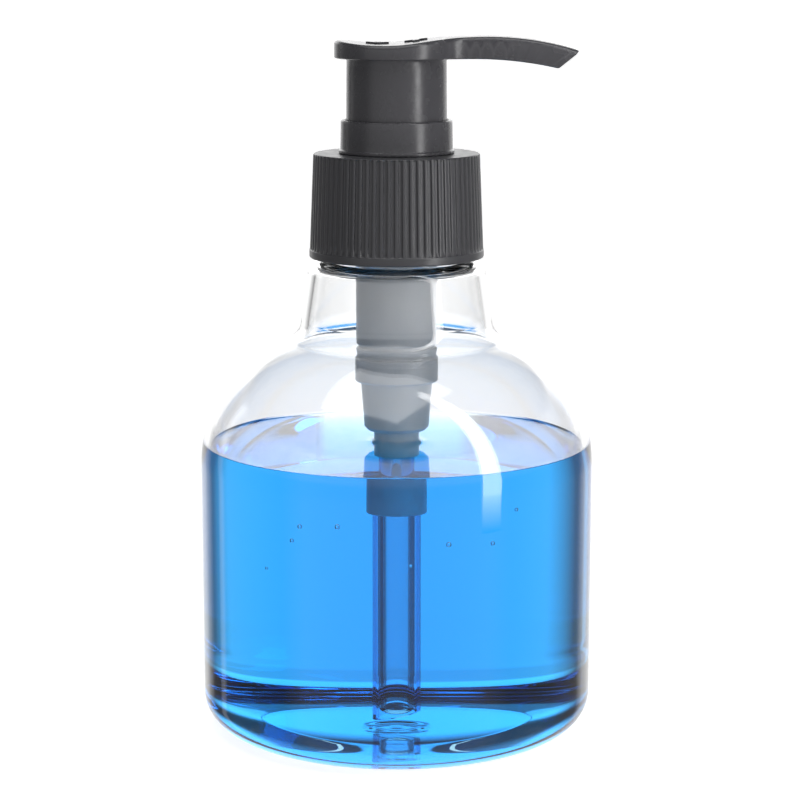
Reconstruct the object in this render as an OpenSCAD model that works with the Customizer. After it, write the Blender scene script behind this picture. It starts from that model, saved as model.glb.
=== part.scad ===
// Soap pump dispenser: a clear round bottle with a left-right lock lotion pump.
// The origin is at the middle of the base, +Z is up and the spout points along +X.

/* [Bottle] */
// Diameter of the bottle's straight wall
body_d = 73; // [70:0.5:78]
// Height at which the shoulder begins to curve in
shoulder_z = 50.1; // [46:0.1:51]
// Radius of the shoulder's arc
shoulder_r = 24.5; // [24:0.1:25.5]
// Radius of the rounded heel under the straight wall
heel_r = 6.5; // [6:0.5:8]
// Thickness of the bottle's wall
wall = 1.5; // [1.2:0.1:1.8]
// Height of the inner floor above the table
floor_z = 1.2; // [1:0.1:1.6]
// Radius of the raised disc in the middle of the base
recess_r = 18.8; // [16:0.2:22]
// Height of that disc's edge above the table
recess_depth = 0.3; // [0.2:0.05:0.4]
// Height of the soap's surface
fill_z = 53.6; // [44:0.1:58]

/* [Neck and closure] */
// Height of the neck's rim, on which the gasket lies
rim_z = 103.2; // [102.5:0.1:103.6]
// Diameter of the neck finish without its thread
finish_d = 25.2; // [25:0.1:25.4]
// Diameter over the neck's thread
thread_d = 27.5; // [27:0.1:27.7]
// Rise of the thread in one turn
pitch = 4.233; // [4:0.001:4.4]
// Turns of thread on the neck
thread_turns = 1.5; // [1:0.25:1.5]
// Number of grip ribs round the closure
ribs = 72; // [48:4:90]
// Height of the grip ribs above the closure's side
rib_h = 0.35; // [0.2:0.05:0.5]

/* [Pump] */
// Distance that the head travels when it is pressed
stroke = 11; // [8:0.5:11]
// Outer diameter of the pump's cylinder
cylinder_d = 15; // [14.6:0.1:15.4]
// Outer diameter of the dip tube
tube_d = 6.7; // [6.4:0.1:6.8]
// Bore of the dip tube
tube_bore_d = 5.1; // [4.6:0.1:5.3]
// Outer diameter of the stem
stem_d = 6.4; // [6.2:0.1:6.5]
// Diameter of the inlet ball
ball_d = 4.8; // [4.6:0.1:5]
// Distance that the inlet ball lifts
ball_lift = 1.5; // [1:0.1:1.6]
// Diameter of the return spring's wire
wire_d = 0.9; // [0.7:0.05:0.95]
// Number of coils in the return spring
coils = 7; // [5:1:7]

/* [Head] */
// Diameter of the thumb pad
pad_d = 22.7; // [21:0.1:24]
// Reach of the spout's tip from the pump's axis
reach = 33.1; // [31:0.1:35]
// Width of the spout where it leaves the pad
spout_w = 10.2; // [9:0.1:11]
// Width of the spout at its tip
tip_w = 8.2; // [7:0.1:9]
// Diameter of the soap channel in the spout
channel_d = 2.4; // [2:0.1:2.6]

/* [Hidden] */
$fn = 96;

gap = 0.3;      // clearance between pieces that pass each other
run = 0.05;     // radial clearance of a running fit
slip = 0.01;    // overlap that joins two shapes of one piece
far = 200;      // longer than anything in the model

// Bottle
body_r = body_d / 2;
shoulder_x = body_r - shoulder_r;
neck_r = 17.75;
neck_top_r = 16.5;
fillet_r = 3.7;
fillet_x = neck_r + fillet_r;
fillet_z = shoulder_z + sqrt(pow(shoulder_r + fillet_r, 2) - pow(fillet_x - shoulder_x, 2));
fillet_angle = atan2(fillet_z - shoulder_z, fillet_x - shoulder_x);
ledge_z = 87.6;
ledge_round = 2.6;
bore_r = 11.1;
inner_heel_r = 8;
stand_r = 27.8;
recess_step = 0.05;
recess_dome = 0.1;
finish_r = finish_d / 2;

// Thread: the neck's ridge and the closure's ridge lie half a pitch apart
thread_z = 91;
thread_root = 2.3;
thread_crest = 1.1;
closure_root = 1.4;
closure_crest = 0.8;
closure_bore_r = thread_d / 2 + gap;
closure_crest_r = finish_r + 0.35;
closure_turns = thread_turns - 0.25;
ring_steps = 40;

// Closure
closure_z = 88.35;
closure_top_z = 107.4;
closure_low_r = 16.09;
closure_top_r = 15.27;
panel_t = 1.2;
band_h = 1.4;
collar_hole_r = 10.08;

// Chaplet: the ring that the head slides in, and the cup below it
hub_r = 10.3;
hub_bore_r = 9.5;
hub_top_z = 113.5;
hub_neck_r = 10;
hub_flange_r = 12;
cup_r = 10.1;
cup_floor_z = 100.9;
cup_floor_t = 1.2;
bush_top_z = 102.4;
bush_low_z = 95;
bush_r = 4.8;

// Housing, from the flange down to the socket for the dip tube
gasket_t = 1;
flange_z = rim_z + gasket_t;
flange_t = 1;
flange_r = 12.5;
cylinder_r = cylinder_d / 2;
cylinder_bore_r = 6.7;
cylinder_z = 71.4;
ring_r = 7.65;
ring_low_z = 65.3;
ring_top_z = 70.1;
chamber_bore_r = 5.9;
lower_top_r = 6.6;
lower_r = 6;
lower_z = 56;
cage_bore_r = 5.2;
seat_z = 56.4;
port_r = 1.6;
socket_r = 4.2;
socket_z = 42;
socket_stop_z = 53;
shoulder_t = 1.2;

// Inlet valve
ball_r = ball_d / 2;
ball_z = seat_z - port_r + ball_r * sqrt(2) + 0.03;
cage_z = 59.2;
cage_top_z = ball_z + ball_r + ball_lift + 0.1 + 1.1;
windows = 3;

// Dip tube
tube_r = tube_d / 2;
tube_low_z = 2.7;
cut_angle = 15;

// Plunger
stem_r = stem_d / 2;
stem_bore_r = 1.9;
stem_top_z = 122.5;
spring_r = 4;
spring_solid_h = (coils + 1) * wire_d;
spring_seat_z = cage_top_z + spring_solid_h + stroke + 0.476;
poppet_r = 4.6;
poppet_floor_t = 1.2;
poppet_rod_r = 1.5;
poppet_rod_z = cage_top_z + stroke + 1.2;
stem_low_z = spring_seat_z + poppet_floor_t;
poppet_top_z = stem_low_z + 1.2;
side_hole_r = 0.8;
side_hole_z = poppet_top_z + 1.6;
piston_low_z = poppet_top_z + 0.1;
piston_h = 6;
piston_r = cylinder_bore_r - 0.03;
seal_h = 2.8;

// Head
pad_r = pad_d / 2;
plate_z = 124.6;
saddle_x = -2.7;
saddle_z = 127.2;
saddle_r = 48;
arch_x = 16.5;
arch_z = 128.6;
arch_in_r = 89;
arch_out_r = 55;
under_x = 14;
under_r = 68;
tip_low_x = 29.9;
tip_low_z = 122.6;
tip_top_z = 126.2;
skirt_low_r = 9.22;
skirt_top_r = 9.12;
skirt_wall = 1;
skirt_z = 112.3;
head_socket_r = 4.7;
head_socket_z = 114;
channel_r = channel_d / 2;
channel_peak_z = 126.5;
channel_arc_r = 53.4;
fillet_plan_r = 6;
mark_x = 3.5;
mark_h = 0.35;

// The half outline of the bottle's outside, or of its hollow when inset is the wall's thickness
module bottle_outline(inset, heel, low_z) {
    side = body_r - inset;
    translate([0, low_z])
        square([side - heel, shoulder_z - low_z]);
    translate([0, low_z + heel])
        square([side, shoulder_z - low_z - heel]);
    translate([side - heel, low_z + heel])
        circle(heel);
    intersection() {
        translate([shoulder_x, shoulder_z])
            circle(shoulder_r - inset);
        translate([0, shoulder_z - slip])
            square([far, far]);
    }
    difference() {
        polygon([
            [0, shoulder_z], [shoulder_x, shoulder_z],
            [shoulder_x + (shoulder_r - inset) * cos(fillet_angle),
             shoulder_z + (shoulder_r - inset) * sin(fillet_angle)],
            [fillet_x, fillet_z], [0, fillet_z]
        ]);
        translate([fillet_x, fillet_z])
            circle(fillet_r + inset);
    }
    polygon([
        [0, fillet_z - slip], [neck_r - inset, fillet_z - slip],
        [neck_top_r - inset, ledge_z - ledge_round], [0, ledge_z - ledge_round]
    ]);
    translate([0, ledge_z - ledge_round - slip])
        square([neck_top_r - ledge_round, ledge_round - inset + slip]);
    intersection() {
        translate([neck_top_r - ledge_round, ledge_z - ledge_round])
            circle(ledge_round - inset);
        square([far, far]);
    }
}

// A tapered ridge that winds up round the axis, from radius root_r to radius crest_r
module thread_ridge(root_r, crest_r, root_w, crest_w, start_z, turns) {
    steps = round(ring_steps * turns);
    fade = ring_steps / 8;
    function height_at(i) = min(1, i / fade, (steps - i) / fade);
    function section(i) = [
        for (corner = [[0, -root_w], [1, -crest_w], [1, crest_w], [0, root_w]])
            let (angle = 360 * i / ring_steps,
                 r = root_r + corner[0] * (crest_r - root_r) * max(0.08, height_at(i)))
            [r * cos(angle), r * sin(angle), start_z + pitch * i / ring_steps + corner[1] / 2]
    ];
    turned_out = crest_r > root_r;
    faces = concat(
        [[0, 1, 2, 3]],
        [for (i = [0:steps - 1], k = [0:3])
            [4 * i + k, 4 * i + 4 + k, 4 * i + 4 + (k + 1) % 4, 4 * i + (k + 1) % 4]],
        [[4 * steps + 3, 4 * steps + 2, 4 * steps + 1, 4 * steps]]
    );
    polyhedron(
        points = [for (i = [0:steps]) each section(i)],
        faces = turned_out ? [for (face = faces) [for (k = [len(face) - 1:-1:0]) face[k]]] : faces
    );
}

// A tube about the axis between two heights
module tube(outer_r, inner_r, low_z, high_z) {
    translate([0, 0, low_z])
        difference() {
            cylinder(r = outer_r, h = high_z - low_z);
            translate([0, 0, -1])
                cylinder(r = inner_r, h = high_z - low_z + 2);
        }
}

module bottle() {
    color([0.85, 0.93, 0.98, 0.4]) {
        difference() {
            rotate_extrude() {
                bottle_outline(0, heel_r, 0);
                translate([0, ledge_z - ledge_round])
                    square([finish_r, rim_z - ledge_z + ledge_round]);
            }
            rotate_extrude() {
                bottle_outline(wall, inner_heel_r, floor_z);
                translate([0, shoulder_z])
                    square([bore_r, far]);
            }
            rotate_extrude()
                polygon([
                    [0, -1], [stand_r, -1], [stand_r, 0],
                    [recess_r + recess_step, recess_depth - recess_step],
                    [recess_r, recess_depth], [0, recess_depth + recess_dome]
                ]);
        }
        thread_ridge(finish_r - 0.3, thread_d / 2, thread_root, thread_crest, thread_z, thread_turns);
    }
}

module liquid_soap() {
    color([0.15, 0.55, 0.95, 0.7])
        difference() {
            rotate_extrude()
                intersection() {
                    bottle_outline(wall + run, inner_heel_r, floor_z + run);
                    square([far, fill_z]);
                }
            cylinder(r = tube_r + gap, h = far);
            translate([0, 0, socket_z - gap])
                cylinder(r = socket_r + gap, h = far);
        }
}

module closure() {
    tooth = 360 / ribs;
    rib_z = closure_z + band_h / 2;
    core_r = closure_low_r - rib_h - 0.1;
    core_scale = (closure_top_r - rib_h) / core_r;
    color([0.12, 0.12, 0.13]) {
        difference() {
            union() {
                translate([0, 0, closure_z])
                    cylinder(r = closure_low_r, h = band_h);
                translate([0, 0, rib_z])
                    linear_extrude(closure_top_z - rib_z, scale = core_scale)
                        polygon([
                            for (i = [0:ribs - 1], k = [[0, 0], [0.2, 1], [0.45, 1], [0.65, 0]])
                                let (angle = tooth * (i + k[0]), r = core_r + rib_h * k[1])
                                [r * cos(angle), r * sin(angle)]
                        ]);
            }
            translate([0, 0, closure_z - 1])
                cylinder(r = closure_bore_r, h = closure_top_z - closure_z - panel_t + 1);
            cylinder(r = collar_hole_r, h = far);
        }
        thread_ridge(closure_bore_r + 0.3, closure_crest_r, closure_root, closure_crest,
                     thread_z + pitch / 2, closure_turns);
    }
}

module chaplet() {
    panel_z = closure_top_z - panel_t;
    color([0.1, 0.1, 0.11])
        rotate_extrude() {
            polygon([
                [hub_bore_r, closure_top_z + 0.1], [hub_r + 0.3, closure_top_z + 0.1],
                [hub_r + 0.3, closure_top_z + 0.6], [hub_r, closure_top_z + 0.8],
                [hub_r - 0.1, hub_top_z - 0.4], [hub_r - 0.5, hub_top_z], [hub_bore_r, hub_top_z]
            ]);
            translate([hub_bore_r, panel_z - 0.2])
                square([hub_neck_r - hub_bore_r, panel_t + 0.4]);
            translate([hub_bore_r, flange_z + flange_t])
                square([hub_flange_r - hub_bore_r, panel_z - 0.1 - flange_z - flange_t]);
            translate([hub_bore_r, cup_floor_z - cup_floor_t])
                square([cup_r - hub_bore_r, flange_z + flange_t - cup_floor_z + cup_floor_t + slip]);
            translate([bush_r, cup_floor_z - cup_floor_t])
                square([hub_bore_r + slip - bush_r, cup_floor_t]);
            translate([stem_r + run, bush_low_z])
                square([bush_r + slip - stem_r - run, bush_top_z - bush_low_z]);
        }
}

module neck_gasket() {
    color([0.92, 0.92, 0.9])
        tube(flange_r, bore_r, rim_z, flange_z);
}

module housing() {
    ledge_low_z = cup_floor_z - cup_floor_t - shoulder_t;
    sleeve_r = cup_r + 0.7;
    color([0.9, 0.92, 0.94, 0.8])
        difference() {
            rotate_extrude()
                polygon([
                    [0, flange_z + flange_t], [flange_r, flange_z + flange_t], [flange_r, flange_z],
                    [sleeve_r, flange_z], [sleeve_r, ledge_low_z],
                    [cylinder_r, ledge_low_z - sleeve_r + cylinder_r], [cylinder_r, cylinder_z],
                    [ring_r - 0.5, cylinder_z - 0.3], [ring_r - 0.5, ring_top_z],
                    [ring_r, ring_top_z - 0.3], [ring_r, ring_low_z + 0.3], [ring_r - 0.3, ring_low_z],
                    [lower_top_r, ring_low_z], [lower_r, lower_z + 0.7], [lower_r - 0.7, lower_z],
                    [socket_r, lower_z], [socket_r, socket_z + 0.3], [socket_r - 0.3, socket_z],
                    [0, socket_z]
                ]);
            translate([0, 0, cup_floor_z - cup_floor_t])
                cylinder(r = cup_r + slip, h = far);
            translate([0, 0, cylinder_z])
                cylinder(r = cylinder_bore_r, h = far);
            translate([0, 0, ring_low_z])
                cylinder(r = chamber_bore_r, h = far);
            translate([0, 0, seat_z + cage_bore_r - port_r])
                cylinder(r = cage_bore_r, h = far);
            translate([0, 0, seat_z])
                cylinder(r1 = port_r, r2 = cage_bore_r, h = cage_bore_r - port_r);
            cylinder(r = port_r, h = far);
            translate([0, 0, socket_z - 1])
                cylinder(r = tube_r + slip, h = socket_stop_z - socket_z + 1);
        }
}

module stem_seal() {
    color([0.85, 0.87, 0.9])
        rotate_extrude()
            polygon([
                [stem_r + run, bush_low_z], [cylinder_bore_r - slip, bush_low_z],
                [cylinder_bore_r - slip, bush_low_z - seal_h], [cylinder_bore_r - 0.8, bush_low_z - seal_h],
                [cylinder_bore_r - 1.2, bush_low_z - 1], [stem_r + 0.9, bush_low_z - 1],
                [stem_r + run + 0.4, bush_low_z - seal_h], [stem_r + run, bush_low_z - seal_h]
            ]);
}

module dip_tube() {
    color([0.85, 0.9, 0.95, 0.6])
        difference() {
            tube(tube_r, tube_bore_d / 2, tube_low_z, socket_stop_z);
            translate([-tube_r, 0, tube_low_z])
                rotate([0, -cut_angle, 0])
                    translate([-far / 2, -far / 2, -far])
                        cube([far, far, far]);
        }
}

module ball_cage() {
    cap_z = cage_top_z - 1.1;
    color([0.93, 0.93, 0.95])
        difference() {
            tube(cage_bore_r - slip, ball_r + 0.25, cage_z + 1, cap_z);
            for (i = [0:windows - 1])
                rotate([0, 0, i * 360 / windows])
                    translate([0, -1.3, cage_z])
                        cube([far, 2.6, cap_z - cage_z - 0.6]);
        }
    color([0.93, 0.93, 0.95])
        tube(cage_bore_r - slip, ball_r * 0.6, cap_z - slip, cage_top_z);
}

module inlet_ball() {
    color([0.75, 0.77, 0.8])
        translate([0, 0, ball_z])
            sphere(ball_r);
}

module stem() {
    color([0.92, 0.93, 0.95])
        difference() {
            tube(stem_r, stem_bore_r, stem_low_z, stem_top_z);
            for (side = [0, 90])
                rotate([0, 0, side])
                    translate([0, 0, side_hole_z])
                        rotate([90, 0, 0])
                            cylinder(r = side_hole_r, h = far, center = true);
        }
}

module poppet() {
    color([0.92, 0.93, 0.95])
        rotate_extrude()
            polygon([
                [0, poppet_rod_z], [poppet_rod_r - 0.4, poppet_rod_z], [poppet_rod_r, poppet_rod_z + 0.8],
                [poppet_rod_r, spring_seat_z], [poppet_r, spring_seat_z], [poppet_r, poppet_top_z],
                [stem_r + slip, poppet_top_z], [stem_r + slip, stem_low_z - slip],
                [stem_bore_r - slip, stem_low_z - slip], [stem_bore_r - slip, stem_low_z + 1.2],
                [stem_bore_r - 0.4, stem_low_z + 1.6], [0, stem_low_z + 1.6]
            ]);
}

module piston() {
    high_z = piston_low_z + piston_h;
    color([0.96, 0.96, 0.94])
        rotate_extrude()
            polygon([
                [stem_r + run, piston_low_z], [poppet_r, piston_low_z], [poppet_r, piston_low_z + 1.4],
                [piston_r - 0.8, piston_low_z + 1.4], [piston_r - 0.4, piston_low_z],
                [piston_r, piston_low_z], [piston_r - 0.35, piston_low_z + 2.2],
                [piston_r - 0.35, high_z - 2.2], [piston_r, high_z], [piston_r - 0.4, high_z],
                [piston_r - 1, high_z - 2], [stem_r + 0.9, high_z - 2], [stem_r + 0.5, high_z],
                [stem_r + run, high_z]
            ]);
}

module return_spring() {
    sides = 6;
    steps = 20;
    count = coils * steps;
    wire_r = wire_d / 2;
    rise = spring_seat_z - cage_top_z - wire_d;
    function ring_point(i, k) =
        let (turn = 360 * i / steps, around = 360 * k / sides, r = spring_r + wire_r * cos(around))
        [r * cos(turn), r * sin(turn), cage_top_z + wire_r * (1 + sin(around)) + rise * i / count];
    color([0.75, 0.76, 0.78])
        polyhedron(
            points = [for (i = [0:count], k = [0:sides - 1]) ring_point(i, k)],
            faces = concat(
                [[for (k = [0:sides - 1]) k]],
                [for (i = [0:count - 1], k = [0:sides - 1])
                    [sides * i + k, sides * i + sides + k,
                     sides * i + sides + (k + 1) % sides, sides * i + (k + 1) % sides]],
                [[for (k = [sides - 1:-1:0]) sides * count + k]]
            )
        );
}

// The side outline of the pad and spout, with x along the spout and y up
module head_side() {
    join_x = 4;
    difference() {
        intersection() {
            translate([-far / 2, plate_z - 4])
                square([far, 8]);
            union() {
                translate([-far / 2, 0])
                    square([far / 2 + join_x, far]);
                intersection() {
                    translate([arch_x, arch_z - arch_in_r])
                        circle(arch_in_r);
                    translate([join_x - slip, 0])
                        square([arch_x - join_x + 2 * slip, far]);
                }
                intersection() {
                    translate([arch_x, arch_z - arch_out_r])
                        circle(arch_out_r);
                    translate([arch_x, 0])
                        square([far, far]);
                }
            }
        }
        translate([-far / 2, 0])
            square([far / 2 + under_x, plate_z]);
        translate([under_x - slip, plate_z - under_r - slip])
            intersection() {
                circle(under_r);
                square([far, far]);
            }
        intersection() {
            translate([saddle_x, saddle_z + saddle_r])
                circle(saddle_r);
            translate([-far / 2, 0])
                square([far / 2 + join_x, far]);
        }
        polygon([
            [tip_low_x, 0], [tip_low_x, tip_low_z], [reach, tip_top_z], [reach, far], [far, far], [far, 0]
        ]);
    }
}

// The outline of the pad and spout from above
module head_plan() {
    fillet_y = spout_w / 2 + fillet_plan_r;
    fillet_at_x = sqrt(pow(pad_r + fillet_plan_r, 2) - fillet_y * fillet_y);
    circle(pad_r);
    polygon([[0, -spout_w / 2], [fillet_at_x, -spout_w / 2], [reach + 1, -tip_w / 2],
             [reach + 1, tip_w / 2], [fillet_at_x, spout_w / 2], [0, spout_w / 2]]);
    for (side = [-1, 1])
        difference() {
            polygon([[0, 0], [fillet_at_x, 0], [fillet_at_x, side * fillet_y]]);
            translate([fillet_at_x, side * fillet_y])
                circle(fillet_plan_r);
        }
}

// Two plain arrows that show which way the head turns, raised from the saddle of the pad
module turn_arrows() {
    intersection() {
        translate([0, 0, plate_z])
            linear_extrude(6)
                for (side = [-1, 1])
                    translate([side * mark_x, 0])
                        scale([1, side])
                            polygon([
                                [-0.6, -3], [0.6, -3], [0.6, 0.6], [2.1, 0.6],
                                [0, 3.2], [-2.1, 0.6], [-0.6, 0.6]
                            ]);
        rotate([90, 0, 0])
            linear_extrude(8, center = true)
                difference() {
                    translate([-pad_r, plate_z])
                        square([2 * pad_r, 6]);
                    translate([saddle_x, saddle_z + saddle_r])
                        circle(saddle_r - mark_h);
                }
    }
}

module head() {
    color([0.1, 0.1, 0.11])
        difference() {
            union() {
                intersection() {
                    translate([0, far / 2, 0])
                        rotate([90, 0, 0])
                            linear_extrude(far)
                                head_side();
                    linear_extrude(far)
                        head_plan();
                }
                translate([0, 0, skirt_z])
                    cylinder(r1 = skirt_low_r, r2 = skirt_top_r, h = plate_z - skirt_z + slip);
                turn_arrows();
            }
            difference() {
                translate([0, 0, skirt_z - 1])
                    cylinder(r = skirt_low_r - skirt_wall, h = plate_z - skirt_z + 1);
                translate([0, 0, head_socket_z])
                    cylinder(r = head_socket_r, h = far);
                translate([0, -2.3, plate_z - 1.6])
                    cube([skirt_low_r, 4.6, far]);
            }
            translate([0, 0, head_socket_z - 1])
                cylinder(r = stem_r + run, h = stem_top_z - head_socket_z + 1.1);
            translate([0, 0, stem_top_z])
                cylinder(r = channel_r, h = 2.2);
            translate([arch_x, 0, channel_peak_z - channel_arc_r])
                rotate([90, 0, 0])
                    rotate(70)
                        rotate_extrude(angle = 38)
                            translate([channel_arc_r, 0])
                                circle(channel_r);
        }
}

bottle();
liquid_soap();
closure();
chaplet();
neck_gasket();
housing();
stem_seal();
dip_tube();
ball_cage();
inlet_ball();
stem();
poppet();
piston();
return_spring();
head();
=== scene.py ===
from math import atan2, cos, degrees, hypot, pi, radians, sin, sqrt, tan

import bpy
import numpy as np
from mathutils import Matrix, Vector

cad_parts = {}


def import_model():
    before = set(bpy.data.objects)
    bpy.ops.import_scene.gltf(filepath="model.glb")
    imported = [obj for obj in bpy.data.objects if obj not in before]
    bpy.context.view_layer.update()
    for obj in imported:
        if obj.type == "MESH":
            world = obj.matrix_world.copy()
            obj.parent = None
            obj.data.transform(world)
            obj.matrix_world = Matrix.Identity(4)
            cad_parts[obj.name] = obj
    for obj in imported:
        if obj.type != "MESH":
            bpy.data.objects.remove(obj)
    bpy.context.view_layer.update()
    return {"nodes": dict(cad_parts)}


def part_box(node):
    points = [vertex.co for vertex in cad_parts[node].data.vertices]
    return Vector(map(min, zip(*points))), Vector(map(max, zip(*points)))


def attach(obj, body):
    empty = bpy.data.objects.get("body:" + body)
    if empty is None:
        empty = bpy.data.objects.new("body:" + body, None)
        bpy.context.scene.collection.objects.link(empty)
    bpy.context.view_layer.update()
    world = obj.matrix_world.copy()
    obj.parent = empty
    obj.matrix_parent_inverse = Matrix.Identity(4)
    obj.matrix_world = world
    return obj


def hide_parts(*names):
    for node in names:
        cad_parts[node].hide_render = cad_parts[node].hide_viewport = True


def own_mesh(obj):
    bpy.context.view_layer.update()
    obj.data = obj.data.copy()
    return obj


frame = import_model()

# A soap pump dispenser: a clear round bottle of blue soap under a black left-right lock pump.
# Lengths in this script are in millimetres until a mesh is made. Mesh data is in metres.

MM = 0.001


def low(node, axis=2):
    """The lowest coordinate of a CAD node along an axis, in mm."""
    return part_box(node)[0][axis] / MM


def high(node, axis=2):
    """The highest coordinate of a CAD node along an axis, in mm."""
    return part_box(node)[1][axis] / MM


# Indices of refraction. A surface between two materials has their ratio.
AIR, WATER_IOR, PET_IOR, PP_IOR = 1.0, 1.34, 1.57, 1.49

# The bottle. Its main sizes come from the CAD nodes, and the shape's arcs are those of the CAD part.
# The floor's thickness was found by trial, by its look. Near the heel it is thinner than the CAD part's.
BODY_R = high("bottle", 0)
RIM_Z = high("bottle")
WALL = 1.5
FLOOR_T = 0.8
FILL_Z = high("liquid_soap")
HEEL_R, INNER_HEEL_R = 6.5, 8.0
INNER_FLOOR_R = BODY_R - WALL - INNER_HEEL_R
SHOULDER_Z, SHOULDER_R = 50.1, 24.5
NECK_R, NECK_TOP_R, FILLET_R = 17.75, 16.5, 3.7
LEDGE_Z, LEDGE_ROUND = 87.6, 2.6
BORE_R, FINISH_R, THREAD_R = 11.1, 12.6, 13.75
RECESS_R, RECESS_DEPTH, RECESS_DOME, RECESS_STEP = 18.8, 0.3, 0.1, 0.05
STAND_R = 27.8
THREAD_Z, PITCH, THREAD_TURNS = 91.0, 4.233, 1.5
SHOULDER_X = BODY_R - SHOULDER_R
FILLET_X = NECK_R + FILLET_R
FILLET_Z = SHOULDER_Z + sqrt((SHOULDER_R + FILLET_R) ** 2 - (FILLET_X - SHOULDER_X) ** 2)
FILLET_ANGLE = degrees(atan2(FILLET_Z - SHOULDER_Z, FILLET_X - SHOULDER_X))


# ---------------------------------------------------------------- meshes

def arc(centre, radius, start, end, step=3.0):
    """Points on an arc of (radius, height), from one angle to another in degrees."""
    count = max(2, int(abs(end - start) / step) + 1)
    angles = np.radians(np.linspace(start, end, count + 1))
    return [(centre[0] + radius * cos(a), centre[1] + radius * sin(a)) for a in angles]


def rounded(corners, closed=True):
    """A polygon of (x, y, radius) corners as points, each corner turned into an arc of its radius."""
    points, count = [], len(corners)
    for i, (x, y, radius) in enumerate(corners):
        here = np.array((x, y), float)
        if radius <= 0 or (not closed and i in (0, count - 1)):
            points.append((x, y))
            continue
        before = np.array(corners[i - 1][:2], float) - here
        after = np.array(corners[(i + 1) % count][:2], float) - here
        u, v = before / np.linalg.norm(before), after / np.linalg.norm(after)
        half = np.arccos(np.clip(u @ v, -1, 1)) / 2
        reach = min(radius / tan(half), 0.49 * np.linalg.norm(before), 0.49 * np.linalg.norm(after))
        radius = reach * tan(half)
        start, end = here + u * reach, here + v * reach
        middle = (u + v) / np.linalg.norm(u + v)
        centre = here + middle * radius / sin(half)
        a0 = atan2(*(start - centre)[::-1])
        a1 = atan2(*(end - centre)[::-1])
        turn = (a1 - a0 + pi) % (2 * pi) - pi
        for t in np.linspace(0, 1, max(3, int(abs(turn) / radians(12)) + 2)):
            points.append((centre[0] + radius * cos(a0 + turn * t), centre[1] + radius * sin(a0 + turn * t)))
    return points


def refined(points, longest, closed=True):
    """The same outline with its long straight runs cut into shorter ones."""
    out = []
    ends = points[1:] + points[:1] if closed else points[1:]
    for (x0, y0), (x1, y1) in zip(points, ends):
        cuts = max(1, int(hypot(x1 - x0, y1 - y0) / longest))
        out += [(x0 + (x1 - x0) * k / cuts, y0 + (y1 - y0) * k / cuts) for k in range(cuts)]
    return out if closed else out + [points[-1]]


def grid_faces(rows, columns, wrap_rows, wrap_columns, offset=0):
    """Quads of a grid of points that is numbered row by row."""
    faces = []
    for i in range(rows if wrap_rows else rows - 1):
        for j in range(columns if wrap_columns else columns - 1):
            a, b = (i % rows) * columns, ((i + 1) % rows) * columns
            k = (j + 1) % columns
            faces.append((offset + a + j, offset + b + j, offset + b + k, offset + a + k))
    return faces


def lathe(path, segments=192, warp=None):
    """A solid turned about the axis. A path that starts on the axis ends on it; any other path is closed."""
    on_axis = path[0][0] < 1e-6
    rings = path[1:-1] if on_axis else path
    angles = np.linspace(0, 2 * pi, segments, endpoint=False)
    rows = []
    for r, z in rings:
        rr, zz = np.full(segments, r), np.full(segments, z)
        if warp:
            rr, zz = warp(angles, rr, zz)
        rows.append(np.stack([rr * np.cos(angles), rr * np.sin(angles), zz], 1))
    points = np.concatenate(rows)
    faces = grid_faces(len(rings), segments, not on_axis, True)
    if on_axis:
        first, last = len(points), len(points) + 1
        points = np.concatenate([points, [(0, 0, path[0][1]), (0, 0, path[-1][1])]])
        base = (len(rings) - 1) * segments
        for j in range(segments):
            k = (j + 1) % segments
            faces.append((first, j, k))
            faces.append((last, base + k, base + j))
    return points, faces


def volume(points, faces):
    """The signed volume that the faces enclose."""
    fans = [(f[0], f[k], f[k + 1]) for f in faces for k in range(1, len(f) - 1)]
    a, b, c = (np.asarray(points)[list(corner)] for corner in zip(*fans))
    return np.einsum("ij,ij->", a, np.cross(b, c)) / 6


def facing(shape, outward=True):
    """The shape with its faces pointing out of it, or into it for a hollow."""
    points, faces = shape
    if (volume(points, faces) > 0) != outward:
        faces = [tuple(reversed(f)) for f in faces]
    return points, faces


def joined(*shapes):
    """Several shapes as one."""
    points, faces, offset = [], [], 0
    for p, f in shapes:
        points.append(np.asarray(p, float))
        faces += [tuple(offset + k for k in face) for face in f]
        offset += len(p)
    return np.concatenate(points), faces


def piece(name, shape, materials, body, replaces=(), sharp=32):
    """A named mesh that rides on a body and stands for CAD nodes."""
    points, faces = shape
    mesh = bpy.data.meshes.new(name)
    mesh.from_pydata([tuple(p) for p in np.asarray(points) * MM], [], faces)
    mesh.validate()
    for polygon in mesh.polygons:
        polygon.use_smooth = True
    mesh.set_sharp_from_angle(angle=radians(sharp))
    for m in materials:
        mesh.materials.append(m)
    obj = bpy.data.objects.new(name, mesh)
    bpy.context.scene.collection.objects.link(obj)
    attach(obj, body)
    if replaces:
        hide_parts(*replaces)
    return obj


# ---------------------------------------------------------------- materials

def nodes_of(name):
    """A new material, its node tree, its Principled node and its output."""
    m = bpy.data.materials.new(name)
    m.use_nodes = True
    tree = m.node_tree
    shader = tree.nodes["Principled BSDF"]
    return m, tree, shader, tree.nodes["Material Output"]


def noise(tree, scale, detail=3.0, roughness=0.55, stretch=(1, 1, 1)):
    """A noise texture in the object's own coordinates. Its scale is in features per metre."""
    place = tree.nodes.new("ShaderNodeTexCoord")
    mapping = tree.nodes.new("ShaderNodeMapping")
    mapping.inputs["Scale"].default_value = stretch
    texture = tree.nodes.new("ShaderNodeTexNoise")
    texture.inputs["Scale"].default_value = scale
    texture.inputs["Detail"].default_value = detail
    texture.inputs["Roughness"].default_value = roughness
    tree.links.new(place.outputs["Object"], mapping.inputs["Vector"])
    tree.links.new(mapping.outputs["Vector"], texture.inputs["Vector"])
    return texture.outputs["Fac"]


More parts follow.
